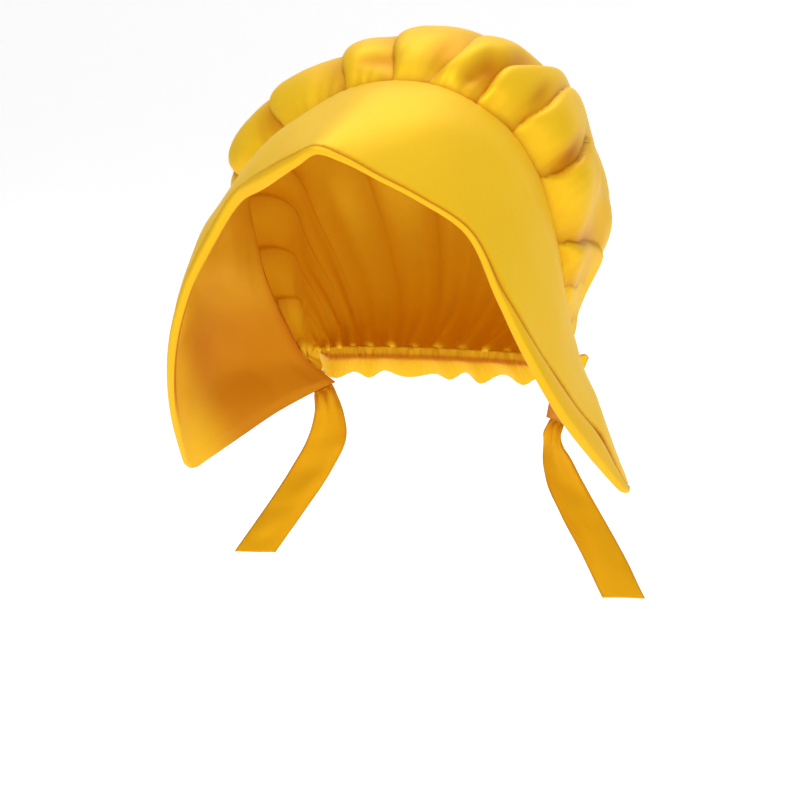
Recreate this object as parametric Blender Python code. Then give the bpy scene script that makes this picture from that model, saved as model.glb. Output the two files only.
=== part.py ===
"""A costume bonnet: stiffened brim with pointed flaps, gathered crown, nape frill and two ties.

Units are metres. +X is the wearer's left, -Y is the front and +Z is up. The origin is the point
under the top of the crown seam, where the bonnet sits on the head.
"""
import math

import bmesh
import bpy
import numpy as np
from mathutils import Vector

# Driving dimensions
SEAM_HALF_WIDTH = 0.090
SEAM_SETBACK = 0.090
SEAM_DROP = 0.192
FLAP_HALF_SPREAD = 0.128
BRIM_REACH = 0.107
FLAP_DROP = 0.2215
BRIM_BOW = 0.022
FLAP_TIP_ROUND = 0.006
CLOTH = 0.0014
CROWN_CLOTH = 0.0012
SEW_GAP = 0.0003
BRIM_PADDING = 0.0016
FACING_ROLL = 0.008
LIP_START = 0.70
PADDING_START = 0.12
CROWN_END_SHARE = 0.86
CROWN_TUCK_LEFT = (0.53, 0.72)
CROWN_TUCK_RIGHT = (0.50, 0.95)
DRAW_IN_START = 0.80
CROWN_WIDTH_SWELL = 0.0145
PLEAT_DEPTH = 0.0034
GATHER_DEPTH = 0.0024
GATHER_COUNT = 17
GATHER_REACH = 0.30
LOBE_ROUNDNESS = 0.7
LOBE_MIDDLE = 0.55
FLAT_END = 0.12
FLAT_SEAM = 0.10
CASING_HALF_WIDTH = 0.074
CASING_SETBACK = 0.078
CASING_LEVEL = -0.160
CASING_BACK = 0.028
CASING_DEPTH = 0.006
FRILL_WIDTH = 0.016
FRILL_WAVE = 0.0032
FRILL_WAVES = 10
FRILL_END_SHARE = 0.90
FRILL_DROOP = 0.72
FLARE_START = 0.70
FLARE_LIFT = 0.82
TIE_WIDTH = 0.024
TIE_CLOTH = 0.0013
TIE_FALL = 0.096
TIE_SPREAD = 0.042
TIE_SEAM_INSET = 0.003
TIE_TURN = 0.25

# Mesh steps
BRIM_STEPS = 56
RIB_STEPS = 7
LIP_STEPS = 3
CROWN_STEPS = 104
CROWN_RISE_STEPS = 10
FRILL_STEPS = 104
FRILL_DROP_STEPS = 3
TIE_STEPS = 18
TIE_WIDTH_STEPS = 2

# Brim sections from the wearer's right corner (-1) over the top (0) to the left corner (1).
# Seam columns are shares of SEAM_HALF_WIDTH, SEAM_SETBACK and SEAM_DROP, edge columns are shares
# of FLAP_HALF_SPREAD, BRIM_REACH and FLAP_DROP, and the bows are shares of BRIM_BOW.
BRIM_COLUMNS = ("at", "seam_x", "seam_y", "seam_z", "edge_x", "edge_y", "edge_z", "bow_back", "bow_front")
BRIM_SECTIONS = (
    (-1.00, -0.73, 1.00, 0.930, -1.020, 0.24, 1.010, 0.25, 0.15),
    (-0.91, -0.86, 0.87, 0.860, -0.948, -0.13, 0.855, 0.80, 0.50),
    (-0.785, -0.95, 0.69, 0.740, -0.838, -0.46, 0.670, 1.10, 0.60),
    (-0.655, -1.00, 0.48, 0.605, -0.735, -0.60, 0.500, 1.00, 0.60),
    (-0.52, -1.01, 0.30, 0.445, -0.594, -0.67, 0.350, 0.70, 0.50),
    (-0.385, -0.98, 0.16, 0.290, -0.442, -0.75, 0.255, 0.45, 0.35),
    (-0.285, -0.82, 0.08, 0.175, -0.340, -0.84, 0.221, 0.40, 0.30),
    (-0.19, -0.57, 0.03, 0.088, -0.250, -0.905, 0.196, 0.40, 0.30),
    (-0.09, -0.28, 0.01, 0.030, -0.115, -0.975, 0.157, 0.35, 0.25),
    (0.00, 0.00, 0.00, 0.000, 0.000, -1.00, 0.128, 0.35, 0.25),
    (0.09, 0.28, 0.01, 0.006, 0.125, -0.975, 0.154, 0.35, 0.25),
    (0.19, 0.55, 0.03, 0.055, 0.255, -0.925, 0.197, 0.40, 0.30),
    (0.285, 0.77, 0.08, 0.138, 0.400, -0.84, 0.246, 0.45, 0.35),
    (0.385, 0.91, 0.16, 0.258, 0.572, -0.72, 0.322, 0.50, 0.40),
    (0.52, 0.97, 0.30, 0.430, 0.703, -0.645, 0.483, 0.50, 0.35),
    (0.655, 0.975, 0.48, 0.603, 0.797, -0.56, 0.614, 0.45, 0.30),
    (0.785, 0.93, 0.69, 0.755, 0.898, -0.374, 0.763, 0.55, 0.40),
    (0.91, 0.84, 0.88, 0.900, 0.972, -0.112, 0.885, 0.75, 0.90),
    (1.00, 0.74, 1.00, 1.000, 1.035, 0.225, 1.008, 0.55, 0.60),
)

# The front edge: how far the seam lies behind it as a share of FACING_ROLL, and the padding there
# as a share of BRIM_PADDING.
LIP_COLUMNS = ("at", "back", "padding")
LIP_SECTIONS = (
    (-1.00, 0.15, 0.5),
    (-0.80, 0.20, 1.0),
    (-0.40, 0.25, 1.5),
    (-0.15, 0.35, 2.2),
    (0.00, 0.15, 1.0),
    (0.12, 0.10, 0.2),
    (0.35, 0.10, 0.3),
    (0.50, 0.20, 1.0),
    (0.65, 1.00, 1.4),
    (0.80, 1.80, 1.8),
    (0.92, 1.50, 1.6),
    (1.00, 0.30, 0.5),
)

# Crown sections from the brim seam (0) to the nape casing (1): the angle about the line that joins
# the casing's two ends, the distance from it as a share of the seam's, and the width as a share.
CROWN_COLUMNS = ("along", "angle", "reach", "swell")
CROWN_SECTIONS = (
    (0.00, 0.00, 1.000, 0.00),
    (0.10, 0.07, 1.045, 0.95),
    (0.25, 0.19, 1.050, 1.10),
    (0.42, 0.37, 0.970, 0.85),
    (0.58, 0.56, 0.830, 1.10),
    (0.74, 0.76, 0.590, 0.35),
    (0.88, 0.93, 0.330, -0.20),
    (1.00, 1.00, 0.130, 0.00),
)

CASING_ANGLE = math.radians(2)

# Valleys between the crown's pleats: place on the brim seam, depth as a share of PLEAT_DEPTH, and
# how far it runs into the crown.
VALLEY_COLUMNS = ("at", "depth", "reach")
VALLEYS = (
    (-0.860, 0.5, 0.40),
    (-0.740, 0.9, 0.45),
    (-0.620, 1.0, 0.50),
    (-0.490, 1.1, 0.50),
    (-0.365, 1.2, 0.45),
    (-0.220, 1.4, 0.50),
    (-0.080, 1.5, 0.60),
    (0.020, 0.9, 0.40),
    (0.090, 1.3, 0.60),
    (0.195, 1.9, 0.70),
    (0.285, 1.6, 0.60),
    (0.395, 1.8, 0.65),
    (0.540, 1.6, 0.50),
    (0.660, 1.0, 0.45),
    (0.760, 0.9, 0.45),
    (0.860, 0.5, 0.40),
)

# Sections of the ties from the sewn end (0) to the free end (1): shares of the spread and the fall,
# the setback as a share of the spread, the heading of the width in degrees and the width's share.
TIE_COLUMNS = ("along", "out", "back", "down", "heading", "width")
TIE_LEFT_SECTIONS = (
    (0.00, 0.00, 0.00, 0.00, -46.0, 0.45),
    (0.10, -0.06, 0.05, 0.10, -40.0, 0.60),
    (0.22, -0.04, 0.06, 0.21, -25.0, 0.82),
    (0.36, 0.07, 0.02, 0.36, -8.0, 0.97),
    (0.52, 0.28, -0.05, 0.52, 4.0, 1.0),
    (0.76, 0.66, -0.20, 0.76, 10.0, 1.0),
    (1.00, 1.00, -0.34, 1.00, 12.0, 1.0),
)
TIE_RIGHT_SECTIONS = (
    (0.00, 0.00, 0.00, 0.00, -46.0, 0.45),
    (0.12, -0.06, 0.05, 0.12, -40.0, 0.65),
    (0.30, -0.03, 0.08, 0.30, -28.0, 0.92),
    (0.50, 0.18, 0.00, 0.50, -20.0, 1.0),
    (0.75, 0.54, -0.16, 0.76, -16.0, 1.0),
    (1.00, 0.89, -0.34, 1.00, -14.0, 1.0),
)

SATIN_YELLOW = (0.76, 0.46, 0.035, 1.0)


def clear_scene():
    for old in list(bpy.data.objects):
        bpy.data.objects.remove(old, do_unlink=True)


def column(rows, names, name):
    """One column of a table as an array."""
    return np.array([row[names.index(name)] for row in rows])


def smooth(rows, names, name, at):
    """Read a column at a place between its rows, along a curve that passes through each row."""
    x = column(rows, names, names[0])
    y = column(rows, names, name)
    slope = np.gradient(y, x)
    at = min(max(at, x[0]), x[-1])
    i = min(int(np.searchsorted(x, at, side="right")) - 1, len(x) - 2)
    span = x[i + 1] - x[i]
    t = (at - x[i]) / span
    h00 = (1 + 2 * t) * (1 - t) ** 2
    h10 = t * (1 - t) ** 2
    h01 = t * t * (3 - 2 * t)
    h11 = t * t * (t - 1)
    return h00 * y[i] + h10 * span * slope[i] + h01 * y[i + 1] + h11 * span * slope[i + 1]


def smooth_step(t):
    t = min(max(t, 0.0), 1.0)
    return t * t * (3 - 2 * t)


def brim_row(name, at):
    return smooth(BRIM_SECTIONS, BRIM_COLUMNS, name, at)


def seam_point(at):
    """A point of the crown seam, on the brim's outer face."""
    return Vector((
        brim_row("seam_x", at) * SEAM_HALF_WIDTH,
        brim_row("seam_y", at) * SEAM_SETBACK,
        -brim_row("seam_z", at) * SEAM_DROP,
    ))


def edge_point(at):
    """A point of the brim's front edge."""
    return Vector((
        brim_row("edge_x", at) * FLAP_HALF_SPREAD,
        brim_row("edge_y", at) * BRIM_REACH,
        -brim_row("edge_z", at) * FLAP_DROP,
    ))


def outward(at):
    """The direction that the brim bows in at one section, square to the section's chord."""
    step = 0.02
    chord = edge_point(at) - seam_point(at)
    low, high = max(at - step, -1.0), min(at + step, 1.0)
    run = (seam_point(high) + edge_point(high)) - (seam_point(low) + edge_point(low))
    return chord.cross(run).normalized()


def rib_length(at):
    return (edge_point(at) - seam_point(at)).length


def tip_shortening(at):
    """How much of a rib is cut off near a flap's end, so that its tip is round."""
    corner = 1 - FLAP_TIP_ROUND / (SEAM_DROP + SEAM_SETBACK)
    if abs(at) <= corner:
        return 0.0
    t = (abs(at) - corner) / (1 - corner)
    return FLAP_TIP_ROUND * (1 - math.sqrt(max(1 - t * t, 0.0))) / rib_length(at)


def rib_point(at, along):
    """The brim's outer face: a cubic rib from the crown seam (0) to the front edge (1)."""
    start, end = seam_point(at), edge_point(at)
    bow = outward(at) * BRIM_BOW
    one = start.lerp(end, 1 / 3) + bow * brim_row("bow_back", at)
    two = start.lerp(end, 2 / 3) + bow * brim_row("bow_front", at)
    t = along * (1 - tip_shortening(at))
    u = 1 - t
    return start * u ** 3 + one * (3 * u * u * t) + two * (3 * u * t * t) + end * t ** 3


def rib_normal(at, along):
    step = 0.01
    a, b = max(at - step, -1.0), min(at + step, 1.0)
    c, d = max(along - step, 0.0), min(along + step, 1.0)
    run = rib_point(b, along) - rib_point(a, along)
    rise = rib_point(at, d) - rib_point(at, c)
    return rise.cross(run).normalized()


def roll_share(at):
    """Where the front seam lies on a rib, as a share of the rib."""
    return 1 - smooth(LIP_SECTIONS, LIP_COLUMNS, "back", at) * FACING_ROLL / rib_length(at)


def padding(at, along):
    """The space between the brim's two cloths, nothing at the crown seam."""
    lip = smooth(LIP_SECTIONS, LIP_COLUMNS, "padding", at)
    fullness = 1 + (lip - 1) * smooth_step((along - LIP_START) / (1 - LIP_START))
    return BRIM_PADDING * fullness * min(along / PADDING_START, 1.0)


def outer_point(at, along):
    """The middle of the outer cloth, which ends at the front seam."""
    share = along * (roll_share(at) - SEW_GAP / rib_length(at))
    return rib_point(at, share) - rib_normal(at, share) * (CLOTH / 2)


def facing_point(at, row):
    """The middle of the facing: along the inside, round the front edge and back to the seam."""
    inner_depth = 1.5 * CLOTH + SEW_GAP
    if row <= RIB_STEPS:
        along = row / RIB_STEPS
        depth = inner_depth + padding(at, along)
        return rib_point(at, along) - rib_normal(at, along) * depth
    deep = inner_depth + padding(at, 1.0)
    shallow = CLOTH / 2
    radius = (deep - shallow) / 2
    turn = row - RIB_STEPS
    front = rib_point(at, 1.0)
    normal = rib_normal(at, 1.0)
    forward = (front - rib_point(at, 0.96)).normalized()
    middle = front - normal * (shallow + radius)
    if turn < LIP_STEPS:
        swing = math.pi * turn / LIP_STEPS
        return middle - normal * (radius * math.cos(swing)) + forward * (radius * math.sin(swing))
    share = 1 + (roll_share(at) - 1) * (turn - LIP_STEPS) / 2
    return rib_point(at, share) - rib_normal(at, share) * shallow


def crown_seam(at):
    """Where the crown's cloth starts, just behind the brim's rear edge."""
    back = (rib_point(at, 0.0) - rib_point(at, 0.03)).normalized()
    inset = SEW_GAP + CROWN_CLOTH / 2
    return rib_point(at, 0.0) + back * inset - rib_normal(at, 0.0) * CLOTH


def casing_point(share):
    """The nape casing, from its right end (-1) round the back to its left end (1)."""
    swing = share * math.pi / 2
    return Vector((
        CASING_HALF_WIDTH * math.sin(swing),
        CASING_SETBACK + CASING_BACK * math.cos(swing),
        CASING_LEVEL,
    ))


def low_end(share):
    """1 at the crown's two lower ends, 0 over the rest of it."""
    start, full = CROWN_TUCK_LEFT if share > 0 else CROWN_TUCK_RIGHT
    return smooth_step((abs(share) - start) / (full - start))


def crown_row(name, along):
    return smooth(CROWN_SECTIONS, CROWN_COLUMNS, name, along)


def crown_base(share, along):
    """The crown's form without its pleats."""
    seam = crown_seam(share * CROWN_END_SHARE)
    casing = casing_point(share)
    arm = Vector((seam.y - CASING_SETBACK, seam.z - CASING_LEVEL))
    first = math.atan2(arm.y, arm.x)
    angle = first + (CASING_ANGLE - first) * crown_row("angle", along)
    end = casing.y - CASING_SETBACK
    reach = arm.length * crown_row("reach", along)
    reach += (end - reach) * smooth_step((along - DRAW_IN_START) / (1 - DRAW_IN_START))
    tuck = low_end(share)
    swell = CROWN_WIDTH_SWELL * crown_row("swell", along) * (1 - 1.5 * tuck)
    width = seam.x + (casing.x - seam.x) * along ** (2 - 1.2 * tuck) + swell * seam.x / SEAM_HALF_WIDTH
    return Vector((
        width,
        CASING_SETBACK + reach * math.cos(angle),
        CASING_LEVEL + reach * math.sin(angle),
    ))


def crown_normal(share, along):
    step = 0.01
    a, b = max(share - step, -1.0), min(share + step, 1.0)
    c, d = max(along - step, 0.0), min(along + step, 1.0)
    run = crown_base(b, along) - crown_base(a, along)
    rise = crown_base(share, d) - crown_base(share, c)
    return run.cross(rise).normalized()


def pleat_lobes(share, along):
    """The rounded lobes between the pleats' valleys, deepest near the brim seam."""
    place = share * CROWN_END_SHARE
    valleys, depths, reaches = (column(VALLEYS, VALLEY_COLUMNS, name) for name in VALLEY_COLUMNS)
    right = min(max(int(np.searchsorted(valleys, place)), 1), len(valleys) - 1)
    across = (place - valleys[right - 1]) / (valleys[right] - valleys[right - 1])
    across = min(max(across, 0.0), 1.0)
    depth = np.interp(place, valleys, depths)
    reach = np.interp(place, valleys, reaches)
    lobe = math.sin(math.pi * across) ** LOBE_ROUNDNESS - LOBE_MIDDLE
    return depth * lobe * math.exp(-(along / reach) ** 2)


def pleat_height(share, along):
    """How far the gathered cloth stands out from, or folds in under, the crown's form."""
    ends = smooth_step((1 - abs(share)) / FLAT_END)
    front = PLEAT_DEPTH * pleat_lobes(share, along) * smooth_step(along / FLAT_SEAM)
    wave = math.cos(math.pi * GATHER_COUNT * share)
    fade = math.exp(-((1 - along) / GATHER_REACH) ** 2)
    back = GATHER_DEPTH * wave * fade * smooth_step((1 - along) / FLAT_SEAM)
    return (front + back) * ends


def crown_point(share, along):
    return crown_base(share, along) + crown_normal(share, along) * pleat_height(share, along)


def frill_point(share, row):
    """The casing's band, then the ruffle, which droops at the back and stands out at both ends."""
    share *= FRILL_END_SHARE
    start = casing_point(share)
    away = Vector((start.x, start.y, 0.0)).normalized()
    end = smooth_step((abs(share) - FLARE_START) / (FRILL_END_SHARE - FLARE_START))
    band = CASING_DEPTH * (1 - 0.6 * end)
    point = start - Vector((0, 0, SEW_GAP + CROWN_CLOTH / 2 + band * min(row, 1)))
    out = max(row - 1, 0) / (FRILL_DROP_STEPS - 1)
    wave = FRILL_WAVE * math.sin(math.pi * FRILL_WAVES * share) * out * (1 - 0.5 * end)
    droop = FRILL_DROOP - FLARE_LIFT * end
    point += away * (FRILL_WIDTH * math.sqrt(1 - droop * droop) * out + 0.3 * wave)
    point.z += wave - FRILL_WIDTH * droop * out
    return point


def tie_point(side, along, across):
    """A flat tie, caught in the brim's lower edge at one rear corner."""
    rows = TIE_LEFT_SECTIONS if side > 0 else TIE_RIGHT_SECTIONS
    out, back, down, heading, width = (smooth(rows, TIE_COLUMNS, name, along) for name in TIE_COLUMNS[1:])
    sewn_width = TIE_WIDTH * rows[0][TIE_COLUMNS.index("width")]
    share = (TIE_SEAM_INSET + sewn_width / 2) / rib_length(side)
    depth = CLOTH + (SEW_GAP + padding(side, share)) / 2
    corner = rib_point(side, share)
    below = (corner - rib_point(side * 0.98, share)).normalized()
    centre = corner - rib_normal(side, share) * depth + below * (2 * SEW_GAP)
    centre += Vector((side * TIE_SPREAD * out, TIE_SPREAD * back, -TIE_FALL * down))
    turn = math.radians(heading)
    level = Vector((side * math.cos(turn), math.sin(turn), 0.0))
    brim_edge = (rib_point(side, share + 0.05) - corner).normalized()
    wide = brim_edge.lerp(level, smooth_step(along / TIE_TURN)).normalized()
    return centre + wide * (TIE_WIDTH * width * across)


def material(name):
    """Yellow polyester satin, softly shining."""
    made = bpy.data.materials.new(name)
    made.use_nodes = True
    shader = made.node_tree.nodes["Principled BSDF"]
    shader.inputs["Base Color"].default_value = SATIN_YELLOW
    shader.inputs["Roughness"].default_value = 0.55
    shader.inputs["Metallic"].default_value = 0.0
    return made


def cloth(name, columns, rows, place, thickness):
    """Sew one piece: a grid of points placed by a function, given its thickness both ways."""
    bm = bmesh.new()
    bmesh.ops.create_grid(bm, x_segments=columns, y_segments=rows, size=0.5)
    for vert in bm.verts:
        vert.co = place(vert.co.x + 0.5, vert.co.y + 0.5)
    bmesh.ops.recalc_face_normals(bm, faces=bm.faces)
    mesh = bpy.data.meshes.new(name)
    bm.to_mesh(mesh)
    bm.free()
    mesh.shade_smooth()
    mesh.materials.append(material(name + "_satin"))
    piece = bpy.data.objects.new(name, mesh)
    bpy.context.scene.collection.objects.link(piece)
    wall = piece.modifiers.new("wall", "SOLIDIFY")
    wall.thickness = thickness
    wall.offset = 0.0
    wall.use_even_offset = False
    return piece


def station(x):
    """A place along the brim, with the sections closer together towards its two ends."""
    return 0.4 * (2 * x - 1) + 0.6 * math.sin(math.pi * (x - 0.5))


def brim_outer():
    return cloth("brim_outer", BRIM_STEPS, RIB_STEPS, lambda x, y: outer_point(station(x), y), CLOTH)


def brim_facing():
    rows = RIB_STEPS + LIP_STEPS + 2

    def place(x, y):
        return facing_point(station(x), round(y * rows))

    return cloth("brim_facing", BRIM_STEPS, rows, place, CLOTH)


def crown():
    return cloth("crown", CROWN_STEPS, CROWN_RISE_STEPS, lambda x, y: crown_point(2 * x - 1, y), CROWN_CLOTH)


def nape_frill():
    def place(x, y):
        return frill_point(2 * x - 1, round(y * FRILL_DROP_STEPS))

    return cloth("nape_frill", FRILL_STEPS, FRILL_DROP_STEPS, place, CROWN_CLOTH)


def tie(name, side):
    return cloth(name, TIE_WIDTH_STEPS, TIE_STEPS, lambda x, y: tie_point(side, y, x - 0.5), TIE_CLOTH)


clear_scene()
brim_outer()
brim_facing()
crown()
nape_frill()
tie("tie_left", 1)
tie("tie_right", -1)
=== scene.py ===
"""A yellow satin costume bonnet in its worn form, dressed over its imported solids.

Units are metres. +X is the wearer's left, -Y is the front and +Z is up. The origin is the point
under the top of the crown seam, where the worn bonnet rests.
"""
import math

import bmesh
import bpy
import numpy as np
from mathutils import Matrix, Vector, noise


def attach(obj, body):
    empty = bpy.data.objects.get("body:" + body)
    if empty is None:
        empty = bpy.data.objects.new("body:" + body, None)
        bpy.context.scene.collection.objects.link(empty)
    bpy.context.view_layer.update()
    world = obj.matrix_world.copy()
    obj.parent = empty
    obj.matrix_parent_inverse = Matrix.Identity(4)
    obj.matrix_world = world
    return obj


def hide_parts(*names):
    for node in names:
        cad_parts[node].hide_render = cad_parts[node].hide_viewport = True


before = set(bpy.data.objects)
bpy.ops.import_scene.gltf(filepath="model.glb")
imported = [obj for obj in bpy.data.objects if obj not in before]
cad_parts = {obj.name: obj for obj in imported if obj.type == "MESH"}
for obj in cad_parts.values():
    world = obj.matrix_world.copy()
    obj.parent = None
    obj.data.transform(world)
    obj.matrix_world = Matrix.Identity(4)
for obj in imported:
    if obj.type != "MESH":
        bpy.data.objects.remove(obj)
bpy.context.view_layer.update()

# The brim's outer cloth is one stiffened crescent of satin. It arches over from flap to flap, and is
# sewn to the crown along its rear edge and to the facing just behind its front edge.
SEAM_HALF_WIDTH = 0.090
SEAM_SETBACK = 0.090
SEAM_DROP = 0.192
FLAP_HALF_SPREAD = 0.128
BRIM_REACH = 0.107
FLAP_DROP = 0.2215
BRIM_BOW = 0.022
FLAP_TIP_ROUND = 0.006
EDGE_CALM = 0.13
CALM_LIMIT = 0.7
CALM_FADE = 0.3
CLOTH = 0.0014
SEW_GAP = 0.0003
BRIM_PADDING = 0.0016
PADDING_START = 0.12
PADDING_END = 0.02
FACING_ROLL = 0.008
LIP_START = 0.70
SEAM_DIP = 0.0009
SEAM_DIP_WIDTH = 0.0014
BRIM_STEPS = 260
RIB_STEPS = 44
EVEN_SHARE = 0.4
RUN_STEP = 0.02
NORMAL_STEP = 0.01
NOISE_SCALE = 1.6

# Places along the brim run from the wearer's right flap (-1) to the left one (1). The other columns
# are shares of the sizes above.
BRIM_COLUMNS = ("at", "seam_x", "seam_y", "seam_z", "edge_x", "edge_y", "edge_z", "bow_back", "bow_front")
BRIM_SECTIONS = (
    (-1.00, -0.73, 1.00, 0.930, -1.020, 0.24, 1.010, 0.25, 0.15),
    (-0.91, -0.86, 0.87, 0.860, -0.957, -0.13, 0.855, 1.10, 0.95),
    (-0.785, -0.95, 0.69, 0.740, -0.852, -0.46, 0.670, 1.25, 1.05),
    (-0.655, -1.00, 0.48, 0.605, -0.733, -0.60, 0.500, 1.00, 0.95),
    (-0.52, -1.01, 0.30, 0.460, -0.575, -0.67, 0.350, 0.72, 0.72),
    (-0.385, -0.98, 0.15, 0.325, -0.442, -0.75, 0.255, 0.45, 0.35),
    (-0.285, -0.82, 0.06, 0.222, -0.340, -0.84, 0.221, 0.40, 0.30),
    (-0.19, -0.57, 0.02, 0.118, -0.250, -0.905, 0.196, 0.40, 0.30),
    (-0.09, -0.28, 0.01, 0.032, -0.115, -0.975, 0.157, 0.35, 0.25),
    (0.00, 0.00, 0.00, 0.000, 0.000, -1.00, 0.128, 0.35, 0.25),
    (0.09, 0.28, 0.01, 0.006, 0.125, -0.975, 0.154, 0.35, 0.25),
    (0.19, 0.55, 0.03, 0.055, 0.255, -0.925, 0.197, 0.40, 0.30),
    (0.285, 0.77, 0.08, 0.138, 0.400, -0.84, 0.246, 0.45, 0.35),
    (0.385, 0.91, 0.16, 0.258, 0.572, -0.72, 0.322, 0.50, 0.40),
    (0.52, 0.97, 0.30, 0.430, 0.703, -0.645, 0.483, 0.50, 0.35),
    (0.655, 0.975, 0.48, 0.603, 0.797, -0.56, 0.614, 0.45, 0.30),
    (0.785, 0.93, 0.69, 0.755, 0.898, -0.374, 0.763, 0.55, 0.40),
    (0.91, 0.80, 0.88, 0.900, 0.972, -0.112, 0.885, 0.88, 0.90),
    (1.00, 0.72, 1.00, 1.000, 1.035, 0.225, 1.008, 0.55, 0.60),
)

# How far behind the edge the front seam lies, in rolls, and how thick the edge is, in paddings.
LIP_COLUMNS = ("at", "back", "padding")
LIP_SECTIONS = (
    (-1.00, 0.15, 0.5),
    (-0.80, 0.30, 1.2),
    (-0.40, 0.35, 2.0),
    (-0.28, 0.40, 3.0),
    (-0.15, 0.35, 2.4),
    (0.00, 0.15, 1.0),
    (0.12, 0.10, 0.2),
    (0.35, 0.10, 0.3),
    (0.50, 0.20, 1.0),
    (0.65, 1.00, 1.4),
    (0.80, 1.80, 1.8),
    (0.92, 1.50, 1.6),
    (1.00, 0.30, 0.5),
)

# The waves of the stiffened cloth, one soft ridge along the wearer's left, one crease near the left
# flap's end, and the small puckers that stitching leaves.
BRIM_WAVE = 0.0011
WAVES_ALONG = 7
WAVES_ACROSS = 2.2
WAVE_START = 0.25
WAVE_END = 0.15
RIDGE_HEIGHT = 0.0010
RIDGE_PLACE = 0.26
RIDGE_SLANT = 0.1
RIDGE_WIDTH = 0.10
RIDGE_FROM = 0.25
RIDGE_TO = 0.8
CREASE_HEIGHT = 0.0004
CREASE_PLACE = 0.86
CREASE_SLANT = 0.10
CREASE_WIDTH = 0.020
CREASE_FROM = 0.30
RELIEF_FADE = 0.2
PUCKER_DEPTH = 0.0004
PUCKER_REACH = 0.012
REAR_PUCKERS = 90
FRONT_PUCKERS = 120
PUCKER_STRETCH = 3
SEAM_TIGHTNESS = 0.7


def column(rows, names, name):
    return np.array([row[names.index(name)] for row in rows])


def smooth(rows, names, name, at):
    """Read a column at places between its rows, along a curve that passes through each row."""
    x = column(rows, names, names[0])
    y = column(rows, names, name)
    slope = np.gradient(y, x)
    at = np.clip(at, x[0], x[-1])
    i = np.clip(np.searchsorted(x, at, side="right") - 1, 0, len(x) - 2)
    span = x[i + 1] - x[i]
    t = (at - x[i]) / span
    rise = y[i] * (1 + 2 * t) * (1 - t) ** 2 + y[i + 1] * t * t * (3 - 2 * t)
    return rise + span * (slope[i] * t * (1 - t) ** 2 + slope[i + 1] * t * t * (t - 1))


def smooth_step(t):
    t = np.clip(t, 0.0, 1.0)
    return t * t * (3 - 2 * t)


def unit(vectors):
    return vectors / np.maximum(np.linalg.norm(vectors, axis=-1, keepdims=True), 1e-12)


def length(vectors):
    return np.linalg.norm(vectors, axis=-1)


def bump(distance, width):
    """1 at a line, falling smoothly to 0 about two widths away from it."""
    return np.exp(-(distance / width) ** 2)


def unevenness(u, v, seed):
    """Smooth random unevenness, about -1 to 1."""
    u, v = np.broadcast_arrays(u, v)
    return np.array([noise.noise(Vector((a, b, seed))) for a, b in zip(u, v)]) * NOISE_SCALE


def brim_row(name, at):
    return smooth(BRIM_SECTIONS, BRIM_COLUMNS, name, at)


def seam_line(at):
    return np.stack((
        brim_row("seam_x", at) * SEAM_HALF_WIDTH,
        brim_row("seam_y", at) * SEAM_SETBACK,
        -brim_row("seam_z", at) * SEAM_DROP,
    ), -1)


def edge_line(at):
    return np.stack((
        brim_row("edge_x", at) * FLAP_HALF_SPREAD,
        brim_row("edge_y", at) * BRIM_REACH,
        -brim_row("edge_z", at) * FLAP_DROP,
    ), -1)


def rib_length(at):
    return length(edge_line(at) - seam_line(at))


def outward(at):
    """The direction that the brim bows in at one section, square to the section's chord."""
    low, high = np.maximum(at - RUN_STEP, -1.0), np.minimum(at + RUN_STEP, 1.0)
    run = (seam_line(high) + edge_line(high)) - (seam_line(low) + edge_line(low))
    return unit(np.cross(edge_line(at) - seam_line(at), run))


def tip_shortening(at):
    """How much of a rib is cut off near a flap's end, so that its tip is round."""
    corner = 1 - FLAP_TIP_ROUND / (SEAM_DROP + SEAM_SETBACK)
    t = np.clip((np.abs(at) - corner) / (1 - corner), 0.0, 1.0)
    return FLAP_TIP_ROUND * (1 - np.sqrt(1 - t * t)) / rib_length(at)


def calm_edge(at):
    """The front edge with its peak evened out, which the middle of the ribs follows."""
    spread = EDGE_CALM * smooth_step((CALM_LIMIT - np.abs(at)) / CALM_FADE)
    return (edge_line(at - spread) + edge_line(at) + edge_line(at + spread)) / 3


def rib(at, along):
    """The brim's outer face: a cubic rib from the crown seam (0) to the front edge (1)."""
    start, end, calm = seam_line(at), edge_line(at), calm_edge(at)
    bow = outward(at) * BRIM_BOW
    one = start + (calm - start) / 3 + bow * brim_row("bow_back", at)[:, None]
    two = start + (calm - start) * 2 / 3 + bow * brim_row("bow_front", at)[:, None]
    t = (along * (1 - tip_shortening(at)))[:, None]
    u = 1 - t
    return start * u ** 3 + one * (3 * u * u * t) + two * (3 * u * t * t) + end * t ** 3


def rib_normal(at, along):
    run = rib(np.minimum(at + NORMAL_STEP, 1.0), along) - rib(np.maximum(at - NORMAL_STEP, -1.0), along)
    rise = rib(at, np.minimum(along + NORMAL_STEP, 1.0)) - rib(at, np.maximum(along - NORMAL_STEP, 0.0))
    return unit(np.cross(rise, run))


def roll_share(at):
    """Where the front seam lies on a rib, as a share of the rib."""
    return 1 - smooth(LIP_SECTIONS, LIP_COLUMNS, "back", at) * FACING_ROLL / rib_length(at)


def padding(at, along):
    """The space between the brim's two cloths, nothing at the crown seam and at the flaps' ends."""
    lip = smooth(LIP_SECTIONS, LIP_COLUMNS, "padding", at)
    fullness = 1 + (lip - 1) * smooth_step((along - LIP_START) / (1 - LIP_START))
    closed = smooth_step((1 - np.abs(at)) / PADDING_END)
    return BRIM_PADDING * fullness * np.minimum(along / PADDING_START, 1.0) * closed


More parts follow.
